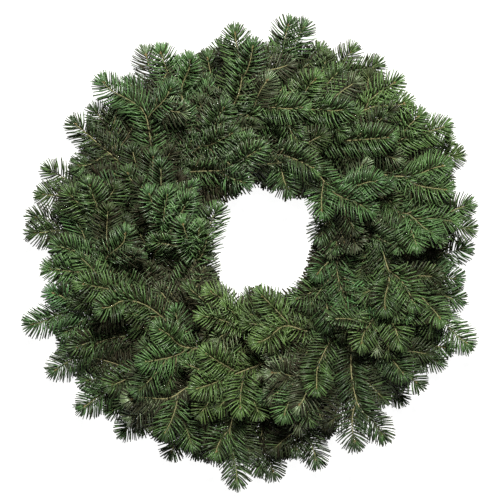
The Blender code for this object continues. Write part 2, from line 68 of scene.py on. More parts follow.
# The wood that the frame's sprays have: stems out from under the clamps, leaders and side twigs.
STEM_RADIUS = 2.4 * MM
FORK_RADIUS = 1.7 * MM
TIP_RADIUS = 1.2 * MM
SIDE_TWIG_RADIUS = 1.45 * MM
SIDE_TWIG_SPREAD = math.radians(53)
HEEL_HALF_LENGTH = 10 * MM
HEEL_RINGS = 3
BARE_SPACING = 17 * MM
RING_SPACING = 11.1 * MM
CLAD_STEM = 34 * MM
LEADER_LENGTH = 60 * MM
SIDE_TWIG_LENGTH = 48 * MM
TIP_NEEDLE_REACH = 8 * MM
STEM_LEAD = math.radians(30)
LOWEST_FORK = 13 * MM
LOWEST_TIP = 14 * MM
RISE_FROM_CLAMP = 0.35
RISE_AT_FORK = 0.15
RISE_AT_TIP = 0.12

# The foliage is domed, highest a little outside the ring's middle.
DOME_HEIGHT = 100 * MM
DOME_PEAK_RADIUS = 180 * MM
DOME_REACH = 195 * MM
FORK_HEIGHT_SHARE = 0.62

# Clear space at the clamps and between sprays, and the space that counts where nothing is near.
GAP = 0.3 * MM
CLEARANCE = 0.5 * MM
FAR = 1.0
# Least values that keep rods of no length, and rods side by side, out of a division by zero.
LEAST_LENGTH_SQUARED = 1e-12
LEAST_SPREAD = 1e-16
CLOSEST_ROUNDS = 3

# Each spray is a row of its twigs' tips, leader first: x, y and heading. The heading is a compass
# bearing on the wreath's face, 0 towards its top and 90 towards its right.
FRONT_SPRAYS = (
    ((50, 305, 20), (72, 300, 38)),
    ((70, 188, 80), (25, 228, 42)),
    ((128, 189, 69), (87, 229, 50)),
    ((205, 197, 70), (192, 226, 58)),
    ((183, 149, 88),),
    ((256, 167, 70), (221, 183, 45)),
    ((255, 113, 90), (257, 82, 96)),
    ((166, 94, 85), (156, 53, 122), (92, 48, 170)),
    ((213, 6, 160), (240, 24, 110)),
    ((172, -77, 170), (210, -71, 160)),
    ((286, -122, 128), (246, -90, 150)),
    ((140, -123, 182), (190, -120, 170)),
    ((199, -161, 145), (220, -172, 125)),
    ((160, -244, 158), (121, -251, 168)),
    ((82, -180, 185), (56, -200, 222)),
    ((18, -155, 258), (39, -214, 195)),
    ((1, -115, 262), (8, -50, 315)),
    ((-20, -304, 182), (-48, -264, 190)),
    ((-77, -175, 255), (-64, -125, 305), (-14, -206, 175)),
    ((-39, -64, 312), (-61, -47, 295), (-70, -80, 275)),
    ((-126, -94, 290), (-144, -141, 258)),
    ((-163, -190, 252), (-116, -237, 212)),
    ((-200, -70, 272), (-225, -37, 285)),
    ((-295, -94, 262), (-265, -49, 286)),
    ((-257, 11, 284), (-163, 33, 355), (-269, -19, 275)),
    ((-239, 83, 326), (-212, 95, 342)),
    ((-133, 83, 350), (-107, 83, 15), (-76, 76, 38)),
    ((-69, 41, 0), (-92, 45, 340), (-42, 62, 35)),
    ((-198, 228, 322), (-104, 220, 12)),
    ((-81, 256, 355), (-120, 268, 345)),
    ((-31, 194, 40), (-20, 158, 62)),
    ((17, 138, 64), (-3, 90, 108)),
    ((52, 77, 142), (86, 106, 118)),
    ((-16, 290, 358), (8, 270, 10)),
)
MIDDLE_SPRAYS = (
    ((289, 63, 84), (291, 32, 95)),
    ((187, 8, 122), (123, 6, 165), (88, 15, 195)),
    ((125, -80, 172), (82, -32, 215)),
    ((100, -100, 185), (52, -62, 250)),
    ((260, -125, 103), (248, -146, 128)),
    ((-226, -207, 230), (-190, -175, 252)),
    ((-57, -2, 20), (-42, -48, 80)),
    ((-294, 28, 274), (-292, 50, 288)),
    ((-238, 174, 306), (-233, 118, 290), (-208, 192, 326)),
    ((-164, 111, 342), (-128, 132, 5)),
    ((-86, 194, 18), (-55, 223, 12)),
    ((-39, 277, 358), (-60, 262, 345)),
    ((-265, -157, 240), (-237, -125, 250)),
    ((86, -279, 170), (58, -264, 182)),
)
BACK_SPRAYS = (
    ((170, 255, 45), (134, 275, 25), (92, 275, 20)),
    ((278, 132, 75), (264, 152, 60)),
    ((277, -33, 88), (279, -62, 98), (288, 8, 78)),
    ((200, -196, 142), (177, -188, 158)),
    ((30, -297, 165), (10, -292, 182)),
    ((-74, -268, 188), (-109, -270, 200)),
    ((-174, -239, 235), (-192, -210, 248)),
    ((-283, 80, 285), (-274, 114, 298)),
    ((-164, 230, 335), (-143, 271, 342)),
)
# Share of the dome's height that each layer's tips reach.
LAYERS = (
    ("front", 0.90, FRONT_SPRAYS),
    ("middle", 0.58, MIDDLE_SPRAYS),
    ("back", 0.27, BACK_SPRAYS),
)
# Height shifts that are tried, in millimetres, until a spray's wood lies clear of the others.
HEIGHT_SHIFTS = (0, 4, -4, 8, -8, 12, -12, 16, -16, 20, 24, 28)
SIDE_SHIFTS = (0, 6, -6, 12, -12)

# Tone and hue of needles, and the sprays that have them, numbered round the ring. Tone runs from
# deep to fresh green, and hue from olive to bluish. The deepest tones are partly painted shade, on
# sprays that lie in shadow.
LOOKS = (
    (0.90, 0.22, (25, 30, 31)),
    (0.90, 0.40, (5, 8, 9)),
    (0.76, 0.44, (4, 10, 37)),
    (0.72, 0.58, (12, 34, 35, 53)),
    (0.66, 0.82, (16, 40, 50)),
    (0.62, 0.36, (3, 13, 17, 18, 24, 33, 46)),
    (0.56, 0.62, (7, 14, 41, 45)),
    (0.50, 0.62, (42, 49, 51, 54)),
    (0.44, 0.44, (6, 15, 19, 26, 29, 39, 44, 57)),
    (0.28, 0.52, (1, 2, 11, 20, 36, 38, 47, 52, 55, 56)),
    (0.16, 0.50, (21, 22, 28, 32, 43, 48)),
    (0.05, 0.45, (23, 27)),
)
# Spray and place in its row of the twigs that are turned over and show their pale undersides.
TURNED_TWIGS = ((11, 1), (24, 1), (26, 0), (33, 0), (37, 0), (37, 1), (50, 1), (57, 1))

# How far a spray's facing, and its twigs' tone and hue, stray from what the spray is given.
FACING_SPREAD = 0.14
LOOK_SPREAD = 0.08

# Wood as it shows: a smooth line through the frame's rings, slimmer than there and a little uneven.
CURVE_STEPS = 24
TWIG_STEP = 5 * MM
FEWEST_STEPS = 3
WOOD_SLIMNESS = 0.46
WOOD_RIPPLE = 0.05
WOOD_SIDES = 5
FINE_WOOD_SIDES = 3

# Finer twigs off the frame's own, and a little below them. Here and below, a pair is the least and
# the most of a value, or where a draw is normal its middle and spread.
FIRST_ON_LEADER = 34 * MM
FIRST_ON_SIDE_TWIG = 10 * MM
LAST_FINE_TWIG = {"front": 30 * MM, "middle": 22 * MM, "back": 18 * MM}
FINE_TWIG_SPACING = {"front": 8 * MM, "middle": 6 * MM, "back": 5 * MM}
FINE_TWIG_DROP = {
    "front": (13 * MM, 32 * MM), "middle": (6 * MM, 20 * MM), "back": (-2 * MM, 10 * MM),
}
SPACING_SHARES = (0.8, 1.2)
FINE_TWIG_LENGTH = (36 * MM, 66 * MM)
FINE_TWIG_SHARES = (1.0, 0.8, 0.62)
FINE_TWIG_SPREAD = (math.radians(34), math.radians(56))
FINE_TWIG_LIFT = (0, 0.12)
FINE_TWIG_ROLL = (0, 0.3)
# Fine twigs are a little deeper in tone and carry painted shade, so they read darker than the
# frame's twigs above them.
FINE_TWIG_TONE = (-0.1, 0.18)
FINE_TWIG_HUE = (0, 0.12)
FINE_TWIG_SHADE = (0.32, 0.25)
FINE_TWIG_STEP = 11 * MM
FEWEST_FINE_STEPS = 4
SHARE_TURNED = 0.1
# Radius of fine wood where it starts and at its tip.
FINE_TWIG_RADII = (0.9 * MM, 0.6 * MM)
# How far a fine twig, and its very tip, sweep towards the way that its parent runs.
FINE_TWIG_SWEEP = 0.25
TIP_SWEEP = 0.6

# Twigs that droop from a bare stem towards the rim and the hole, and close the foliage underneath.
UNDER_TWIG_START = 26 * MM
UNDER_TWIG_LEAN = (0.2, 0.9)
# Under twigs take deep tones and painted shade, dark and brown, as the shade beneath the foliage.
UNDER_TWIG_LOOKS = (0.1, 0.5)
UNDER_TWIG_SHADE = 0.55
UNDER_TWIG_LENGTH = (70 * MM, 105 * MM)
UNDER_TWIG_SHARES = (1.0, 0.85, 0.7, 0.55, 0.4)
UNDER_TWIG_RISE = 24 * MM
UNDER_TWIG_STEPS = 8
LOWEST_WOOD = 9 * MM

# Distance from the outline's middle to the foliage's edge every 30 degrees, clockwise from the top.
OUTLINE_RADII = (279, 293, 289, 269, 276, 266, 285, 284, 293, 275, 274, 277)
HOLE_RADII = (84, 88, 106, 77, 72, 58, 42, 53, 53, 49, 64, 74)
NEEDLE_MARGIN = 12 * MM

# Needles as they grow: flat above, keeled below, in two ranks with shorter ones above the twig.
NEEDLE_FIRST = 4 * MM
NEEDLE_HALF_WIDTH = 0.8 * MM
NEEDLE_THICKNESS = 0.8 * MM
# Shares of the thickness above and below a needle's middle line, and of its length that it bows.
SHARE_ABOVE = 0.3
SHARE_BELOW = 0.7
FORWARD_BOW = 0.26
UPWARD_BOW = 0.05
# Spreads from needle to needle, and the least height of one's corners above the wreath's back.
NEEDLE_TWIST = math.radians(13)
NEEDLE_TONE_SPREAD = 0.36
NEEDLE_AGE_SPREAD = 0.12
NEEDLE_LENGTH_SHARES = (0.92, 1.06)
LOWEST_POINT = 0.6 * MM
# A needle's length, and the share of it and of the width at each ring: on the frame's twigs, on
# finer ones, and on those underneath.
FULL_NEEDLE = (23.5 * MM, ((0.0, 0.8), (0.5, 1.1), (1.0, 0.7)))
PLAIN_NEEDLE = (21.5 * MM, ((0.0, 0.75), (1.0, 1.0)))
UNDER_NEEDLE = (24 * MM, ((0.0, 1.0), (1.0, 1.35)))
# Rows of needles on a twig: spacing, lean and lift in degrees with their spreads, length, and age
# with painted shade, which paints the row below the twig dark as shade.
FULL_ROWS = (
    (2.0 * MM, (74, 2.5), (7, 3), 1.0, 0.0),
    (5.5 * MM, (70, 4), (30, 8), 0.82, 0.0),
    (5.0 * MM, (50, 8), (56, 14), 0.5, 0.0),
    (1.7 * MM, (68, 4), (-15, 6), 0.96, 0.85),
)
PLAIN_ROWS = (
    (2.0 * MM, (72, 3), (6, 4), 1.0, 0.0),
    (6.0 * MM, (58, 6), (48, 15), 0.6, 0.0),
    (3.2 * MM, (68, 4), (-18, 6), 0.94, 0.8),
)
ROW_JITTER = 0.3
# How much closer than on average needles stand at a twig's tip, and further apart at its base.
TIP_CROWDING = 0.3
# Within reach of the tip needles lean forward by more degrees, with a power of their nearness to
# it, and are shorter by a share.
TIP_REACH = 16 * MM
TIP_CLOSING = 30
TIP_CLOSING_POWER = 1.4
TIP_SHORTENING = 0.38
# The tuft at a tip: its needles, how far back they root, and their lean, lift and length.
FULL_TUFT = 18
PLAIN_TUFT = 9
TUFT_DEPTH = 2 * MM
TUFT_LEANS = (4, 50)
TUFT_LEAN_SPREAD = 3
TUFT_LIFT = (8, 26)
TUFT_LENGTHS = (0.46, 0.6)
# Needles are painted darker and browner with depth under the dome, painted shade with some real
# browning: where that starts, where it is full, and by how much.
SHADE_DEPTHS = (24 * MM, 80 * MM)
PAINTED_SHADE_AT_DEPTH = 0.55

# Buds at a twig's end: the middle one leans a little off its line, the others more and from behind.
BUD_COUNT = 3
BUD_SIDES = 5
BUD_LENGTH = 3.4 * MM
BUD_RADIUS = 1.1 * MM
BUD_PROFILE = ((0.0, 0.55), (0.25, 0.95), (0.6, 0.9), (0.88, 0.5), (1.0, 0.12))
BUD_SETBACK = 1.5 * MM
BUD_LEANS = (0.1, 0.8)

NEEDLE, BARK, BUD = range(3)
SHADING_VALUES = ("tone", "hue", "reach", "keel", "age")

# Colours: linear red, green and blue, and full opacity.
DEEP_OLIVE = (0.014, 0.027, 0.008, 1.0)
DEEP_BLUISH = (0.007, 0.028, 0.011, 1.0)
FRESH_OLIVE = (0.112, 0.182, 0.042, 1.0)
FRESH_BLUISH = (0.054, 0.180, 0.060, 1.0)
PATCH_GREEN = (0.040, 0.080, 0.042, 1.0)
# Painted sheen at needles' points.
POINT_SHEEN_GREEN = (0.21, 0.27, 0.12, 1.0)
# Painted light at needles' roots.
ROOT_PAINTED_LIGHT = (0.17, 0.19, 0.07, 1.0)
KEEL_GREEN = (0.26, 0.31, 0.19, 1.0)
# Brown of old needles, also painted as shade deep in the foliage.
OLD_AND_SHADED_NEEDLE = (0.018, 0.012, 0.005, 1.0)
HEEL_BARK = (0.085, 0.075, 0.036, 1.0)
YOUNG_BARK = (0.21, 0.205, 0.09, 1.0)
BARK_GRAIN = (0.29, 0.26, 0.13, 1.0)
DARK_BUD = (0.110, 0.070, 0.028, 1.0)
LIGHT_BUD = (0.190, 0.150, 0.055, 1.0)
BUD_SCALE = (0.09, 0.05, 0.02, 1.0)
DARK_ENAMEL = (0.010, 0.032, 0.016, 1.0)
LIGHT_ENAMEL = (0.020, 0.058, 0.028, 1.0)
RUBBED_WIRE = (0.12, 0.12, 0.11, 1.0)
DARK_FLOOR = (0.24, 0.24, 0.24, 1.0)
LIGHT_FLOOR = (0.26, 0.26, 0.26, 1.0)
WHITE = (1.0, 1.0, 1.0, 1.0)

# Each lamp's name, place, size, power and tint.
LAMPS = (
    ("key_lamp", (0.2, 1.3, 2.55), 0.3, 180, (1.0, 0.98, 0.9)),
    ("overhead_lamp", (-0.5, 0.2, 3.0), 1.4, 10, (1.0, 1.0, 1.0)),
)
SURROUND_STRENGTH = 0.015
FLOOR_GLOW = 0.96
FLOOR_HALF = 6.0
SENSOR_WIDTH = 36
CAMERA_HEIGHT = 2.2
CAMERA_OFFSET = (-2.6 * MM, 6.5 * MM)
FOLIAGE_HEIGHT = 60 * MM
FRAME_WIDTH = 650 * MM


def unit(vector):
    return vector / np.linalg.norm(vector)


def units(vectors):
    return vectors / np.linalg.norm(vectors, axis=1)[:, None]


def directions(path):
    """Way that a path runs at each of its points."""
    return units(np.gradient(path, axis=0))


def square_to(vectors, ways):
    """The part of each vector that is square to its way, at unit length."""
    return units(vectors - (vectors * ways).sum(axis=1)[:, None] * ways)


def turned(first, second, angles):
    """Unit vectors between two square ones, at an angle from the first."""
    return np.cos(angles)[:, None] * first + np.sin(angles)[:, None] * second


def heading_vector(heading, rise=0.0):
    """Unit vector for a compass heading on the face, tipped up by a rise."""
    angle = math.radians(heading)
    return unit(np.array([math.sin(angle), math.cos(angle), rise]))


def right_of(way):
    """Level vector that points to the right of a direction as seen from the front."""
    return np.array([way[1], -way[0], 0])


def outward_at(bearing):
    """Level unit vector that points out from the ring's centre at a bearing."""
    return np.array([math.sin(bearing), math.cos(bearing), 0])


def ring_point(bearing, radius, height):
    """Point at a bearing and radius round the ring's centre."""
    return np.array([*RING_CENTRE, height]) + radius * outward_at(bearing)


def bearing_of(point):
    return math.atan2(point[0] - RING_CENTRE[0], point[1] - RING_CENTRE[1])


def dome_height(x, y):
    radius = math.hypot(x - RING_CENTRE[0], y - RING_CENTRE[1])
    return DOME_HEIGHT * (1 - ((radius - DOME_PEAK_RADIUS) / DOME_REACH) ** 2)


def cubic(t, span, start, start_slope, end, end_slope):
    """From start to end as t runs from 0 to 1 over a span, with a slope at either end."""
    return (
        (2 * t**3 - 3 * t**2 + 1) * start
        + (t**3 - 2 * t**2 + t) * span * start_slope
        + (3 * t**2 - 2 * t**3) * end
        + (t**3 - t**2) * span * end_slope
    )


def hermite(start, start_way, end, end_way, steps=CURVE_STEPS):
    """Smooth curve between two points that leaves and arrives along the given directions."""
    reach = np.linalg.norm(end - start)
    t = np.linspace(0, 1, steps)[:, None]
    return cubic(t, reach, start, start_way, end, end_way)


def ease(values, marks, places):
    """Smooth values at places, from the values at some marks and their slopes there."""
    slopes = np.gradient(values, marks, axis=0)
    at = np.clip(np.searchsorted(marks, places, side="right") - 1, 0, len(marks) - 2)
    span = (marks[at + 1] - marks[at])[:, None]
    t = (places - marks[at])[:, None] / span
    return cubic(t, span, values[at], slopes[at], values[at + 1], slopes[at + 1])


def lengths_along(path):
    steps = np.linalg.norm(np.diff(path, axis=0), axis=1)
    return np.concatenate([[0.0], np.cumsum(steps)])


def vectors_at(places, marks, vectors):
    """Vectors at places, read off between those that are known at some marks."""
    return np.stack([np.interp(places, marks, vectors[:, axis]) for axis in range(3)], axis=1)


def points_at(path, places):
    """Points of a path at the given lengths along it."""
    return vectors_at(places, lengths_along(path), path)


def even_places(start, end, spacing):
    """Places from start up to end, as near to the spacing as divides the stretch."""
    count = max(1, round((end - start) / spacing))
    return list(np.linspace(start, end, count + 1))


def heel_height():
    """Height of a stem's middle where a corner of it rests on the clamp's lower bar."""
    hoop_middle = HOOP_WIRE_RADIUS * math.cos(math.pi / HOOP_SIDES)
    return hoop_middle + CLAMP_HALF_THICKNESS + GAP + STEM_RADIUS


def twig_length(index):
    return LEADER_LENGTH if index == 0 else SIDE_TWIG_LENGTH


def fork_place(tips):
    """Where a spray's twigs part, on the face, found by going back from their tips."""
    backs = []
    for index, (x, y, heading) in enumerate(tips):
        tip = np.array([x * MM, y * MM, 0])
        backs.append(tip - twig_length(index) * heading_vector(heading))
    return np.mean(backs, axis=0)


def mean_heading(tips):
    total = sum(heading_vector(heading) for _, _, heading in tips)
    return unit(total)


def list_sprays():
    """All sprays in order round the ring, each with its clamp and its lane under the clamp."""
    sprays = []
    for layer, share, rows in LAYERS:
        for tips in rows:
            fork = fork_place(tips)
            bearing = bearing_of(fork) % math.tau
            spray = {"layer": layer, "share": share, "tips": tips, "fork": fork, "bearing": bearing}
            sprays.append(spray)
    sprays.sort(key=lambda spray: spray["bearing"])
    for clamp in range(CLAMP_COUNT):
        group = sprays[clamp * STEMS_PER_CLAMP:(clamp + 1) * STEMS_PER_CLAMP]
        group.sort(key=lambda spray: np.hypot(spray["fork"][0], spray["fork"][1]))
        for lane, spray in enumerate(group):
            spray["clamp"] = clamp
            spray["lane"] = lane
    return sprays


def clamp_bearing(clamp):
    return (clamp + 0.5) * math.tau / CLAMP_COUNT - STEM_LEAD


def lane_radius(lane):
    middle = (INNER_HOOP_RADIUS + OUTER_HOOP_RADIUS) / 2
    return middle + (lane - 1) * STEM_PITCH


def tip_point(spray, index, lift, shift):
    """End of a twig's wood, with the direction that it arrives in."""
    x, y, heading = spray["tips"][index]
    way = heading_vector(heading, rise=RISE_AT_TIP)
    height = spray["share"] * dome_height(x * MM, y * MM) + lift * MM
    tip = np.array([x * MM, y * MM, max(height, LOWEST_TIP)])
    return tip - TIP_NEEDLE_REACH * way + shift * MM * right_of(way), way


def leader_path(spray, lift, shift):
    """Stem and leader in one: out from under its clamp, up to the fork and on to the tip."""
    bearing = clamp_bearing(spray["clamp"])
    along_ring = right_of(outward_at(bearing))
    seat = ring_point(bearing, lane_radius(spray["lane"]), heel_height())
    heel = seat - HEEL_HALF_LENGTH * along_ring
    leave = seat + HEEL_HALF_LENGTH * along_ring
    fork = spray["fork"].copy()
    height = spray["share"] * FORK_HEIGHT_SHARE * dome_height(fork[0], fork[1])
    fork[2] = max(height + lift * MM, LOWEST_FORK)
    way = mean_heading(spray["tips"])
    fork += shift * MM * right_of(way)
    tip, tip_way = tip_point(spray, 0, lift, shift)
    rising = unit(way + np.array([0, 0, RISE_AT_FORK]))
    leaving = unit(along_ring + np.array([0, 0, RISE_FROM_CLAMP]))
    stem = hermite(leave, leaving, fork, rising)
    leader = hermite(fork, rising, tip, tip_way)
    path = np.concatenate([[heel], [seat], stem, leader[1:]])
    fork_at = lengths_along(path)[len(stem) + 1]
    return path, fork_at


def wood_rings(path, fork_at):
    """Places along a leader where its rings go: sparse on the bare stem, close where it is clad."""
    end = lengths_along(path)[-1]
    heel_end = 2 * HEEL_HALF_LENGTH
    clad_from = max(heel_end + BARE_SPACING, fork_at - CLAD_STEM)
    places = [0.0, HEEL_HALF_LENGTH]
    places += even_places(heel_end, clad_from, BARE_SPACING)
    places += even_places(clad_from, end, RING_SPACING)[1:]
    return np.array(places)


def taper(places, fork_at):
    """Radius of the wood at each place."""
    marks = [0, 2 * HEEL_HALF_LENGTH, fork_at, places[-1]]
    return np.interp(places, marks, [STEM_RADIUS, STEM_RADIUS, FORK_RADIUS, TIP_RADIUS])


def side_twig(spray, index, leader, fork_at, lift, shift):
    """A side twig's rings, from the leader's surface to its own tip."""
    rings = leader["rings"]
    tip, tip_way = tip_point(spray, index, lift, shift)
    nearest = np.argmin(np.abs(leader["places"] - fork_at))
    ring = int(nearest - (index - 1))
    along = unit(rings[ring + 1] - rings[ring])
    toward = tip - rings[ring]
    side = unit(toward - (toward @ along) * along)
    start = rings[ring] + leader["radii"][ring] / 2 * side
    leaving = math.cos(SIDE_TWIG_SPREAD) * along + math.sin(SIDE_TWIG_SPREAD) * side
    path = hermite(start, leaving, tip, tip_way)
    end = lengths_along(path)[-1]
    places = even_places(0, end, RING_SPACING)
    radii = np.interp(places, [0, end], [SIDE_TWIG_RADIUS, TIP_RADIUS])
    return {"rings": points_at(path, places), "radii": radii, "is_leader": False}


def wood_of(spray, lift, shift):
    """Leader and side twigs of one spray, as rings of the wood."""
    path, fork_at = leader_path(spray, lift, shift)
    places = wood_rings(path, fork_at)
    leader = {
        "rings": points_at(path, places), "radii": taper(places, fork_at), "places": places,
        "is_leader": True,
    }
    twigs = [leader]
    for index in range(1, len(spray["tips"])):
        twigs.append(side_twig(spray, index, leader, fork_at, lift, shift))
    return twigs


def gaps_between(start, end, radii, rods):
    """Clear space between one tapered rod and each of many: rods holds starts, ends and radii.

    Here u and v run along the rods, and s and t are the shares of them where they come closest.
    """
    starts, ends, start_radii, end_radii = rods
    u = end - start
    v = ends - starts
    w = start - starts
    a = u @ u
    b = v @ u
    c = np.maximum((v * v).sum(axis=1), LEAST_LENGTH_SQUARED)
    d = w @ u
    e = (v * w).sum(axis=1)
    spread = np.maximum(a * c - b * b, LEAST_SPREAD)
    s = np.clip((b * e - c * d) / spread, 0, 1)
    for _ in range(CLOSEST_ROUNDS):
        t = np.clip((b * s + e) / c, 0, 1)
        s = np.clip((b * t - d) / a, 0, 1)
    apart = np.linalg.norm(w + s[:, None] * u - t[:, None] * v, axis=1)
    own = radii[0] + (radii[1] - radii[0]) * s
    others = start_radii + (end_radii - start_radii) * t
    return apart - own - others


class Rods:
    """Every wire and twig laid so far, as tapered rods, and which of them are wires."""

    def __init__(self):
        self.starts = np.zeros((0, 3))
        self.ends = np.zeros((0, 3))
        self.start_radii = np.zeros(0)
        self.end_radii = np.zeros(0)
        self.wires = np.zeros(0, dtype=bool)

    def add(self, start, end, start_radius, end_radius, wire):
        self.starts = np.vstack([self.starts, start])
        self.ends = np.vstack([self.ends, end])
        self.start_radii = np.append(self.start_radii, start_radius)
        self.end_radii = np.append(self.end_radii, end_radius)
        self.wires = np.append(self.wires, wire)

    def clear_space(self, start, end, radii, past_wires):
        """Smallest gap from a rod to the rods laid so far, or to those of them that are twigs."""
        rods = (self.starts, self.ends, self.start_radii, self.end_radii)
        gaps = gaps_between(start, end, radii, rods)
        return np.where(self.wires & past_wires, FAR, gaps).min()


def clamp_outline():
    """A clamp's path across the ring: radius and height of its corners."""
    low = HOOP_WIRE_RADIUS * math.cos(math.pi / HOOP_SIDES)
    high = heel_height() + STEM_RADIUS + GAP + CLAMP_HALF_THICKNESS
    inner = INNER_HOOP_RADIUS
    outer = OUTER_HOOP_RADIUS
    corner = CLAMP_CORNER
    return (
        (inner, low), (inner, high - corner), (inner + corner, high),
        (outer - corner, high), (outer, high - corner), (outer, low),
    )


def lay_frame_rods(rods):
    """Lay both hoops and every clamp."""
    for radius in (INNER_HOOP_RADIUS, OUTER_HOOP_RADIUS):
        for step in range(HOOP_SEGMENTS):
            ends = [math.tau * (step + extra) / HOOP_SEGMENTS for extra in (0, 1)]
            a, b = (ring_point(bearing, radius, HOOP_WIRE_RADIUS) for bearing in ends)
            rods.add(a, b, HOOP_WIRE_RADIUS, HOOP_WIRE_RADIUS, wire=True)
    outline = clamp_outline()
    thickness = CLAMP_HALF_THICKNESS * math.sqrt(2)
    for clamp in range(CLAMP_COUNT):
        bearing = clamp_bearing(clamp)
        corners = [ring_point(bearing, radius, height) for radius, height in outline]
        for a, b in zip(corners, corners[1:] + corners[:1]):
            rods.add(a, b, thickness, thickness, wire=True)


def wood_space(twigs, rods):
    """Smallest gap from a spray's wood to what is laid, its heel among the wires apart."""
    smallest = FAR
    for twig in twigs:
        rings, radii = twig["rings"], twig["radii"]
        for index in range(len(rings) - 1):
            in_frame = twig["is_leader"] and index < HEEL_RINGS
            pair = (radii[index], radii[index + 1])
            space = rods.clear_space(rings[index], rings[index + 1], pair, in_frame)
            smallest = min(smallest, space)
    return smallest


def choose_wood(spray, rods):
    """The spray's wood at the first height and side shift where it lies clear of what is laid."""
    best = None
    for shift in SIDE_SHIFTS:
        for lift in HEIGHT_SHIFTS:
            twigs = wood_of(spray, lift, shift)
            space = wood_space(twigs, rods)
            if best is None or space > best[0]:
                best = (space, twigs)
            if space > CLEARANCE:
                return twigs
    return best[1]


def lay_wood(twigs, rods):
    for twig in twigs:
        rings, radii = twig["rings"], twig["radii"]
        for index in range(len(rings) - 1):
            rods.add(rings[index], rings[index + 1], radii[index], radii[index + 1], wire=False)


def plan_wood():
    """Lay the wood of every spray, each clear of those before it, round the ring."""
    rods = Rods()
    lay_frame_rods(rods)
    sprays = list_sprays()
    for number, spray in enumerate(sprays):
        spray["number"] = number
        spray["twigs"] = choose_wood(spray, rods)
        lay_wood(spray["twigs"], rods)
    return sprays


def edge_radius(radii, point):
    """Distance from the middle to an edge that is listed right round, at a point's bearing."""
    bearing = math.degrees(math.atan2(point[0], point[1])) % 360
    marks = np.linspace(0, 360, len(radii) + 1)
    return np.interp(bearing, marks, radii + radii[:1]) * MM


def in_outline(point):
    """Whether a twig that ends here keeps out of the hole and inside the wreath's outline."""
    radius = math.hypot(point[0], point[1])
    inner = edge_radius(HOLE_RADII, point) + NEEDLE_MARGIN
    return inner < radius < edge_radius(OUTLINE_RADII, point) - NEEDLE_MARGIN


def dome_normal(point):
    """Direction square to the foliage's domed front at a point."""
    across = np.array([point[0] - RING_CENTRE[0], point[1] - RING_CENTRE[1], 0.0])
    radius = max(np.linalg.norm(across), 1 * MM)
    slope = -2 * DOME_HEIGHT * (radius - DOME_PEAK_RADIUS) / DOME_REACH**2
    return unit(UP - slope * across / radius)


class Twig:
    """One twig's centre line, the way that its upper side faces, and how its needles look."""

    def __init__(self, path, radii, facing, clad_from, look, needle, roll):
        self.path = path
        self.needle = needle
        self.from_frame = needle is FULL_NEEDLE
        self.tone, self.hue, self.age = look
        self.marks = lengths_along(path)
        self.radii = radii
        self.ways = directions(path)
        level = square_to(np.tile(facing, (len(path), 1)), self.ways)
        right = np.cross(self.ways, level)
        self.tops = turned(level, right, np.full(len(path), roll))
        self.clad_from = clad_from

    def at(self, places):
        """Point, way, right and top of the twig at each place along it."""
        points = vectors_at(places, self.marks, self.path)
        ways = units(vectors_at(places, self.marks, self.ways))
        tops = square_to(vectors_at(places, self.marks, self.tops), ways)
        return points, ways, np.cross(ways, tops), tops


def tapered(path):
    """Radius of a fine twig at each point of its path."""
    marks = lengths_along(path)
    return np.interp(marks, [0, marks[-1]], FINE_TWIG_RADII)


def framed_twig(wood, facing, look, roll):
    """A twig of the frame, with its rings joined by a smooth line."""
    marks = lengths_along(wood["rings"])
    steps = max(FEWEST_STEPS, round(marks[-1] / TWIG_STEP))
    places = np.linspace(0, marks[-1], steps + 1)
    path = ease(wood["rings"], marks, places)
    radii = WOOD_SLIMNESS * np.interp(places, marks, wood["radii"])
    first = NEEDLE_FIRST + (2 * HEEL_HALF_LENGTH if wood["is_leader"] else 0)
    return Twig(path, radii, facing, first, look, FULL_NEEDLE, roll)


def framed_twigs(spray, draw):
    """The leader and side twigs of a spray, which all face much as the foliage does there."""
    number = spray["number"] + 1
    facing = unit(dome_normal(spray["fork"]) + draw.normal(0, FACING_SPREAD, 3))
    twigs = []
    for place, wood in enumerate(spray["twigs"]):
        tone = spray["tone"] + draw.normal(0, LOOK_SPREAD)
        hue = spray["hue"] + draw.normal(0, LOOK_SPREAD)
        roll = math.pi if (number, place) in TURNED_TWIGS else 0.0
        twigs.append(framed_twig(wood, facing, (tone, hue, 0.0), roll))
    return twigs


def fine_twig(spray, parent, place, hand, draw):
    """One fine twig off a twig of the frame, or None where it would leave the outline."""
    start, way, right, top = (found[0] for found in parent.at(np.array([place])))
    spread = draw.uniform(*FINE_TWIG_SPREAD)
    level = math.cos(spread) * way + hand * math.sin(spread) * right
    out = unit(level + draw.normal(*FINE_TWIG_LIFT) * top)
    drop = draw.uniform(*FINE_TWIG_DROP[spray["layer"]])
    roll = draw.normal(*FINE_TWIG_ROLL) + math.pi * (draw.random() < SHARE_TURNED)
    tone = spray["tone"] + draw.normal(*FINE_TWIG_TONE)
    hue = spray["hue"] + draw.normal(*FINE_TWIG_HUE)
    look = (tone, hue, draw.normal(*FINE_TWIG_SHADE))
    for share in FINE_TWIG_SHARES:
        reach = share * draw.uniform(*FINE_TWIG_LENGTH)
        tip = start + reach * unit(out + FINE_TWIG_SWEEP * way) - np.array([0, 0, drop])
        tip[2] = max(tip[2], LOWEST_WOOD)
        if in_outline(tip):
            steps = max(FEWEST_FINE_STEPS, round(reach / FINE_TWIG_STEP))
            path = hermite(start, out, tip, unit(out + TIP_SWEEP * way), steps)
            return Twig(path, tapered(path), top, NEEDLE_FIRST, look, PLAIN_NEEDLE, roll)
    return None


def fine_twigs(spray, parent, first, draw):
    """Fine twigs along one twig of the frame, left and right in turn."""
    twigs = []
    hand = draw.choice((-1, 1))
    place = first
    while place < parent.marks[-1] - LAST_FINE_TWIG[spray["layer"]]:
        twigs.append(fine_twig(spray, parent, place, hand, draw))
        hand = -hand
        place += FINE_TWIG_SPACING[spray["layer"]] * draw.uniform(*SPACING_SHARES)
    return twigs


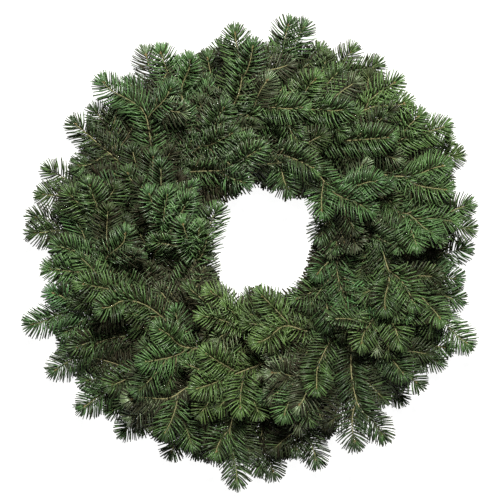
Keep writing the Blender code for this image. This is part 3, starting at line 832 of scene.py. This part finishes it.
def under_twig(leader, hand, draw):
    """A drooping twig that leaves the bare stem near its clamp, towards the rim or the hole."""
    points, ways, _, _ = leader.at(np.array([UNDER_TWIG_START]))
    start = points[0]
    across = hand * outward_at(bearing_of(start))
    out = unit(across + draw.uniform(*UNDER_TWIG_LEAN) * ways[0])
    tone, hue = draw.uniform(*UNDER_TWIG_LOOKS, 2)
    look = (tone, hue, UNDER_TWIG_SHADE)
    for share in UNDER_TWIG_SHARES:
        tip = start + share * draw.uniform(*UNDER_TWIG_LENGTH) * out
        tip[2] = LOWEST_WOOD + draw.uniform(0, UNDER_TWIG_RISE)
        if in_outline(tip):
            path = hermite(start, out, tip, out, UNDER_TWIG_STEPS)
            return Twig(path, tapered(path), UP, NEEDLE_FIRST, look, UNDER_NEEDLE, 0.0)
    return None


def twigs_of(spray, draw):
    """Every twig of one spray: those of the frame, fine ones off them and two under them."""
    number = spray["number"] + 1
    spray["tone"], spray["hue"] = next(look[:2] for look in LOOKS if number in look[2])
    twigs = framed_twigs(spray, draw)
    leader = twigs[0]
    for parent in list(twigs):
        first = FIRST_ON_LEADER if parent is leader else FIRST_ON_SIDE_TWIG
        twigs += fine_twigs(spray, parent, first, draw)
    twigs += [under_twig(leader, hand, draw) for hand in (-1, 1)]
    return [twig for twig in twigs if twig is not None]


class Growth:
    """Points, faces and shading values gathered for one piece."""

    def __init__(self):
        self.points = []
        self.corners = []
        self.counts = []
        self.materials = []
        self.values = {name: [] for name in SHADING_VALUES}
        self.size = 0

    def add(self, points, face_sets, material, **values):
        """Add points, sets of faces with equal numbers of corners, and a value for each point."""
        for faces in face_sets:
            self.corners.append(faces.ravel() + self.size)
            self.counts.append(np.full(len(faces), faces.shape[1]))
            self.materials.append(np.full(len(faces), material))
        for name in SHADING_VALUES:
            value = np.asarray(values.get(name, 0.0), dtype=np.float32)
            self.values[name].append(np.broadcast_to(value, len(points)))
        self.points.append(points)
        self.size += len(points)

    def mesh(self, name):
        corners = np.concatenate(self.corners)
        counts = np.concatenate(self.counts)
        mesh = bpy.data.meshes.new(name)
        mesh.vertices.add(self.size)
        mesh.vertices.foreach_set("co", np.concatenate(self.points).astype(np.float32).ravel())
        mesh.loops.add(len(corners))
        mesh.loops.foreach_set("vertex_index", corners.astype(np.int32))
        mesh.polygons.add(len(counts))
        starts = np.concatenate([[0], np.cumsum(counts)[:-1]])
        mesh.polygons.foreach_set("loop_start", starts.astype(np.int32))
        mesh.polygons.foreach_set("material_index", np.concatenate(self.materials).astype(np.int32))
        for value, parts in self.values.items():
            attribute = mesh.attributes.new(value, "FLOAT", "POINT")
            attribute.data.foreach_set("value", np.concatenate(parts))
        mesh.update(calc_edges=True)
        return mesh


def ring_strip(rings, sides):
    """Quads between a tube's rings, which run against the clock seen from its far end."""
    corner = np.arange(sides)
    after = (corner + 1) % sides
    strip = np.stack([corner, after, after + sides, corner + sides], axis=1)
    return (strip[None] + sides * np.arange(rings - 1)[:, None, None]).reshape(-1, 4)


def add_tube(growth, path, radii, tops, sides, material, **values):
    """A closed tube along a path, with a number of sides."""
    ways = directions(path)
    tops = square_to(tops, ways)
    rights = np.cross(ways, tops)
    angles = math.tau * np.arange(sides)[None, :, None] / sides
    around = np.cos(angles) * tops[:, None] + np.sin(angles) * rights[:, None]
    points = (path[:, None] + radii[:, None, None] * around).reshape(-1, 3)
    corner = np.arange(sides)
    caps = np.stack([corner[::-1], corner + sides * (len(path) - 1)])
    reach = np.repeat(np.linspace(0, 1, len(path)), sides)
    growth.add(points, [ring_strip(len(path), sides), caps], material, reach=reach, **values)


def painted_shade_at(points):
    """Painted shade on needles, with some real browning, by their depth under the foliage's dome.
    """
    depths = np.array([dome_height(x, y) - z for x, y, z in points])
    shallow, full = SHADE_DEPTHS
    return PAINTED_SHADE_AT_DEPTH * np.clip((depths - shallow) / (full - shallow), 0, 1)


def row_of_needles(twig, spacing, lean, lift, length, age, draw):
    """One row of needles along a twig, left and right in turn.

    Lean and lift are in degrees, each with its spread.
    """
    end = twig.marks[-1]
    count = int((end - twig.clad_from) / spacing)
    order = np.arange(count)
    along = (order + draw.uniform(0, ROW_JITTER, count)) / count
    along += TIP_CROWDING * along * (1 - along)
    places = twig.clad_from + along * (end - twig.clad_from)
    closing = np.clip(1 - (end - places) / TIP_REACH, 0, 1)
    leans = lean[0] - TIP_CLOSING * closing**TIP_CLOSING_POWER + draw.normal(0, lean[1], count)
    lifts = draw.normal(*lift, count)
    shares = draw.uniform(*NEEDLE_LENGTH_SHARES, count)
    return {
        "place": places,
        "hand": np.where(order % 2, 1.0, -1.0),
        "lean": np.radians(leans),
        "lift": np.radians(lifts),
        "length": length * (1 - TIP_SHORTENING * closing) * shares,
        "age": np.full(count, age),
    }


def tuft_of_needles(twig, draw):
    """Short needles that fan out round the bud at a twig's end."""
    count = FULL_TUFT if twig.from_frame else PLAIN_TUFT
    order = np.arange(count)
    depths = draw.uniform(0, TUFT_DEPTH, count)
    leans = np.linspace(*TUFT_LEANS, count) + draw.normal(0, TUFT_LEAN_SPREAD, count)
    return {
        "place": twig.marks[-1] - depths,
        "hand": np.where(order % 2, 1.0, -1.0),
        "lean": np.radians(leans),
        "lift": np.radians(draw.normal(*TUFT_LIFT, count)),
        "length": draw.uniform(*TUFT_LENGTHS, count),
        "age": np.zeros(count),
    }


def needle_rows(twig, draw):
    """Two level ranks, shorter needles raised over the twig, a few below it, and the end tuft."""
    plan = FULL_ROWS if twig.from_frame else PLAIN_ROWS
    rows = [row_of_needles(twig, *row, draw) for row in plan]
    rows.append(tuft_of_needles(twig, draw))
    return {name: np.concatenate([row[name] for row in rows]) for name in rows[0]}


def needle_faces(count, rings):
    """Faces of closed needles: a base, three sides between rings and a blunt end."""
    corner = np.arange(3)
    after = (corner + 1) % 3
    sides = np.stack([after, corner, corner + 3, after + 3], axis=1)
    sides = np.concatenate([sides + 3 * step for step in range(rings - 1)])
    ends = np.stack([corner, corner[::-1] + 3 * (rings - 1)])
    offsets = 3 * rings * np.arange(count)[:, None, None]
    return [(ends[None] + offsets).reshape(-1, 3), (sides[None] + offsets).reshape(-1, 4)]


def needle_axes(rows, ways, rights, tops, draw):
    """Way, width and upper face of each needle, a little twisted about itself."""
    outs = rows["hand"][:, None] * rights
    needle_ways = turned(ways, turned(outs, tops, rows["lift"]), rows["lean"])
    faces = square_to(turned(tops, -outs, rows["lift"]), needle_ways)
    widths = np.cross(needle_ways, faces)
    twist = draw.normal(0, NEEDLE_TWIST, len(ways))
    return needle_ways, turned(widths, -faces, twist), turned(faces, widths, twist)


def needle_corners(twig, rows, draw):
    """Where each needle of a twig roots, and its corners, ring by ring: each bows forward."""
    roots, ways, rights, tops = twig.at(rows["place"])
    needle_ways, widths, faces = needle_axes(rows, ways, rights, tops, draw)
    needle_length, stations = twig.needle
    lengths = needle_length * rows["length"]
    corners = []
    for station, width in stations:
        bow = station**2 * (FORWARD_BOW * ways + UPWARD_BOW * tops)
        centres = roots + lengths[:, None] * (station * needle_ways + bow)
        half = width * NEEDLE_HALF_WIDTH
        deep = width * NEEDLE_THICKNESS
        corners += [
            centres + half * widths + SHARE_ABOVE * deep * faces,
            centres - half * widths + SHARE_ABOVE * deep * faces,
            centres - SHARE_BELOW * deep * faces,
        ]
    return roots, np.stack(corners, axis=1)


def add_needles(growth, twig, draw):
    """Clothe one twig in needles, apart from those that would reach below the wreath's back."""
    rows = needle_rows(twig, draw)
    roots, points = needle_corners(twig, rows, draw)
    clear = points[:, :, 2].min(axis=1) > LOWEST_POINT
    points = points[clear]
    count, each = points.shape[:2]
    stations = twig.needle[1]
    reach = np.repeat([station for station, _ in stations], 3)
    keel = np.tile([0.0, 0.0, 1.0], len(stations))
    tones = np.repeat(twig.tone + draw.normal(0, NEEDLE_TONE_SPREAD, count), each)
    shade_and_ages = twig.age + rows["age"][clear] + painted_shade_at(roots[clear])
    shade_and_ages += draw.normal(0, NEEDLE_AGE_SPREAD, count)
    shade_and_ages = np.repeat(np.clip(shade_and_ages, 0, 1), each)
    growth.add(
        points.reshape(-1, 3), needle_faces(count, len(stations)), NEEDLE, tone=tones,
        hue=twig.hue, reach=np.tile(reach, count), keel=np.tile(keel, count), age=shade_and_ages,
    )


def add_buds(growth, twig, draw):
    """Small egg-shaped buds at a twig's end: one at its point, the others just behind it."""
    steps, widths = np.array(BUD_PROFILE).T
    for number in range(BUD_COUNT):
        place = twig.marks[-1] - (BUD_SETBACK if number else 0.0)
        root, way, right, top = (found[0] for found in twig.at(np.array([place])))
        turn = draw.uniform(0, math.tau)
        out = math.cos(turn) * right + math.sin(turn) * top
        bud_way = unit(way + BUD_LEANS[min(number, 1)] * out)
        path = root + BUD_LENGTH * steps[:, None] * bud_way
        tops = np.tile(top, (len(steps), 1))
        tone = draw.random()
        add_tube(growth, path, BUD_RADIUS * widths, tops, BUD_SIDES, BUD, tone=tone)


class Field:
    """A shader socket that takes part in sums as a number does."""

    def __init__(self, tree, socket=None):
        self.tree = tree
        self.socket = socket

    def node(self, kind, settings, inputs, output=0):
        """Any node: its settings are set first, then its sockets' values and links."""
        made = self.tree.nodes.new(kind)
        for name, value in settings.items():
            setattr(made, name, value)
        for key, value in inputs.items():
            self.feed(made.inputs[key], value)
        return Field(self.tree, made.outputs[output])

    def feed(self, socket, value):
        if isinstance(value, Field):
            self.tree.links.new(value.socket, socket)
        else:
            socket.default_value = value

    def sum(self, operation, first, second):
        return self.node("ShaderNodeMath", {"operation": operation}, {0: first, 1: second})

    def __add__(self, other):
        return self.sum("ADD", self, other)

    __radd__ = __add__

    def __sub__(self, other):
        return self.sum("SUBTRACT", self, other)

    def __rsub__(self, other):
        return self.sum("SUBTRACT", other, self)

    def __mul__(self, other):
        return self.sum("MULTIPLY", self, other)

    __rmul__ = __mul__

    def __pow__(self, other):
        return self.sum("POWER", self, other)

    def held(self):
        """The value kept between 0 and 1."""
        return self.node("ShaderNodeClamp", {}, {0: self})

    def sharpened(self, gain, offset):
        """The value with more contrast, kept between 0 and 1."""
        return (self * gain - offset).held()

    def value(self, name):
        """A shading value that the piece's points carry."""
        return self.node("ShaderNodeAttribute", {"attribute_name": name}, {}, "Fac")

    def place(self):
        return self.node("ShaderNodeTexCoord", {}, {}, "Object")

    def noise(self, scale, detail=2.0):
        inputs = {"Vector": self.place(), "Scale": scale, "Detail": detail}
        return self.node("ShaderNodeTexNoise", {}, inputs)

    def mix(self, share, first, second):
        """Colour between two others."""
        return self.node("ShaderNodeMix", {"data_type": "RGBA"}, {0: share, 6: first, 7: second}, 2)

    def bump(self, height, strength, distance):
        inputs = {"Height": height, "Strength": strength, "Distance": distance}
        return self.node("ShaderNodeBump", {}, inputs)


def new_finish(name):
    """A material with its Principled shader, and a field to build on."""
    material = bpy.data.materials.new(name)
    material.use_nodes = True
    return material, material.node_tree.nodes["Principled BSDF"], Field(material.node_tree)


def needle_finish():
    """Waxy fir green with the pale keel that the underside shows, a painted sheen towards each
    needle's point, painted light at its root, and painted shade with browning deep in the foliage.
    """
    material, shader, field = new_finish("fir_needle")
    tone = field.value("tone").held()
    hue = field.value("hue").held()
    reach = field.value("reach")
    keel = field.value("keel")
    age = field.value("age")
    patch = field.noise(26.0)
    speck = field.noise(900.0, 1.0)
    deep = field.mix(hue, DEEP_OLIVE, DEEP_BLUISH)
    fresh = field.mix(hue, FRESH_OLIVE, FRESH_BLUISH)
    green = field.mix(tone, deep, fresh)
    green = field.mix(patch.sharpened(1.6, 0.5) * 0.4, green, PATCH_GREEN)
    # Painted sheen: each needle is paler towards its point.
    green = field.mix(reach**2 * 0.14, green, POINT_SHEEN_GREEN)
    # Painted light: each needle is paler at its root, to offset the shade beside its twig.
    green = field.mix((1 - reach)**4 * 0.4, green, ROOT_PAINTED_LIGHT)
    green = field.mix(keel.sharpened(1.3, 0.3) * 0.6, green, KEEL_GREEN)
    # Painted shade: needles deep in the foliage, in the row under each twig, and on fine and under
    # twigs turn dark brown, mixed with some real browning.
    green = field.mix(age * 0.93, green, OLD_AND_SHADED_NEEDLE)
    field.feed(shader.inputs["Base Color"], green)
    field.feed(shader.inputs["Roughness"], 0.4 + speck * 0.2 + age * 0.2)
    field.feed(shader.inputs["Coat Weight"], (1.0 - age) * 0.75)
    shader.inputs["Coat Roughness"].default_value = 0.3
    shader.inputs["Specular IOR Level"].default_value = 0.3
    return material


def bark_finish():
    """Olive-tan young bark, browner towards the stem's heel, with fine ridges."""
    material, shader, field = new_finish("fir_bark")
    grain = field.noise(420.0, 4.0)
    brown = field.mix(field.value("reach"), HEEL_BARK, YOUNG_BARK)
    colour = field.mix(grain.sharpened(1.8, 0.5) * 0.5, brown, BARK_GRAIN)
    field.feed(shader.inputs["Base Color"], colour)
    field.feed(shader.inputs["Roughness"], 0.62 + grain * 0.25)
    field.feed(shader.inputs["Normal"], field.bump(grain, 0.6, 0.4 * MM))
    return material


def bud_finish():
    """Resin-coated orange-brown bud scales."""
    material, shader, field = new_finish("fir_bud")
    scales = field.noise(700.0, 2.0)
    colour = field.mix(field.value("tone"), DARK_BUD, LIGHT_BUD)
    colour = field.mix(scales.sharpened(1.6, 0.4) * 0.5, colour, BUD_SCALE)
    field.feed(shader.inputs["Base Color"], colour)
    field.feed(shader.inputs["Roughness"], 0.28 + scales * 0.3)
    field.feed(shader.inputs["Normal"], field.bump(scales, 0.5, 0.3 * MM))
    return material


def enamel_finish():
    """Dark green enamel on wire, a little uneven and rubbed in places."""
    material, shader, field = new_finish("green_enamel")
    coat = field.noise(160.0, 3.0)
    rub = field.noise(45.0, 4.0).sharpened(3.2, 1.75)
    colour = field.mix(coat, DARK_ENAMEL, LIGHT_ENAMEL)
    field.feed(shader.inputs["Base Color"], field.mix(rub * 0.5, colour, RUBBED_WIRE))
    field.feed(shader.inputs["Roughness"], 0.30 + coat * 0.18 + rub * 0.2)
    field.feed(shader.inputs["Normal"], field.bump(coat, 0.3, 0.3 * MM))
    shader.inputs["Metallic"].default_value = 0.3
    return material


def floor_finish():
    """Pale matt floor, faintly clouded, with a white glow of its own."""
    material, shader, field = new_finish("pale_floor")
    cloud = field.noise(3.0, 2.0)
    field.feed(shader.inputs["Base Color"], field.mix(cloud, DARK_FLOOR, LIGHT_FLOOR))
    shader.inputs["Roughness"].default_value = 0.9
    shader.inputs["Emission Color"].default_value = WHITE
    shader.inputs["Emission Strength"].default_value = FLOOR_GLOW
    return material


def grow_spray(spray, shift, finishes):
    """One spray as a piece: its wood, needles and buds."""
    draw = np.random.default_rng(spray["number"])
    growth = Growth()
    for twig in twigs_of(spray, draw):
        radii = twig.radii * (1 + draw.normal(0, WOOD_RIPPLE, len(twig.path)))
        sides = WOOD_SIDES if twig.from_frame else FINE_WOOD_SIDES
        add_tube(growth, twig.path, radii, twig.tops, sides, BARK, tone=draw.random())
        add_needles(growth, twig, draw)
        if twig.from_frame:
            add_buds(growth, twig, draw)
    number = f"{spray['number'] + 1:02d}"
    mesh = growth.mesh(f"grown_spray_{number}")
    for finish in finishes:
        mesh.materials.append(finish)
    mesh.transform(shift)
    piece = bpy.data.objects.new(mesh.name, mesh)
    bpy.context.scene.collection.objects.link(piece)
    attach(piece, "root")
    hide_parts(f"fir_spray_{number}")
    return piece


def add_floor():
    """Pale floor that the wreath lies on."""
    half = FLOOR_HALF
    corners = [(-half, -half, 0), (half, -half, 0), (half, half, 0), (-half, half, 0)]
    mesh = bpy.data.meshes.new("floor")
    mesh.from_pydata(corners, [], [(0, 1, 2, 3)])
    mesh.materials.append(floor_finish())
    floor = bpy.data.objects.new("floor", mesh)
    bpy.context.scene.collection.objects.link(floor)


def add_lamp(name, place, size, power, tint):
    """Large soft lamp that faces the wreath."""
    lamp = bpy.data.lights.new(name, "AREA")
    lamp.size = size
    lamp.energy = power
    lamp.color = tint
    item = bpy.data.objects.new(name, lamp)
    item.location = place
    item.rotation_euler = (-Vector(place)).to_track_quat("-Z", "Y").to_euler()
    bpy.context.scene.collection.objects.link(item)


def light_studio():
    """Soft key from above the wreath's top, a wide lamp overhead and an even white surround."""
    for lamp in LAMPS:
        add_lamp(*lamp)
    world = bpy.data.worlds.new("studio")
    world.use_nodes = True
    surround = world.node_tree.nodes["Background"]
    surround.inputs["Color"].default_value = WHITE
    surround.inputs["Strength"].default_value = SURROUND_STRENGTH
    bpy.context.scene.world = world
    bpy.context.scene.view_settings.view_transform = "Standard"


def add_camera(shift):
    """Camera straight above the wreath, looking down."""
    lens = bpy.data.cameras.new("front_camera")
    lens.sensor_width = SENSOR_WIDTH
    lens.lens = SENSOR_WIDTH * (CAMERA_HEIGHT - FOLIAGE_HEIGHT) / FRAME_WIDTH
    camera = bpy.data.objects.new("front_camera", lens)
    across, up = CAMERA_OFFSET
    camera.location = (shift.x + across, shift.y + up, CAMERA_HEIGHT)
    bpy.context.scene.collection.objects.link(camera)
    bpy.context.scene.camera = camera


def dress_wreath():
    """Grow every spray over the frame's own, enamel the wire, and set the stage."""
    low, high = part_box("ring_frame")
    shift = (low + high) / 2 - Vector((*RING_CENTRE, 0))
    shift.z = 0
    finishes = (needle_finish(), bark_finish(), bud_finish())
    for spray in plan_wood():
        grow_spray(spray, Matrix.Translation(shift), finishes)
    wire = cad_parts["ring_frame"]
    wire.data.materials.clear()
    wire.data.materials.append(enamel_finish())
    add_floor()
    light_studio()
    add_camera(shift)


dress_wreath()
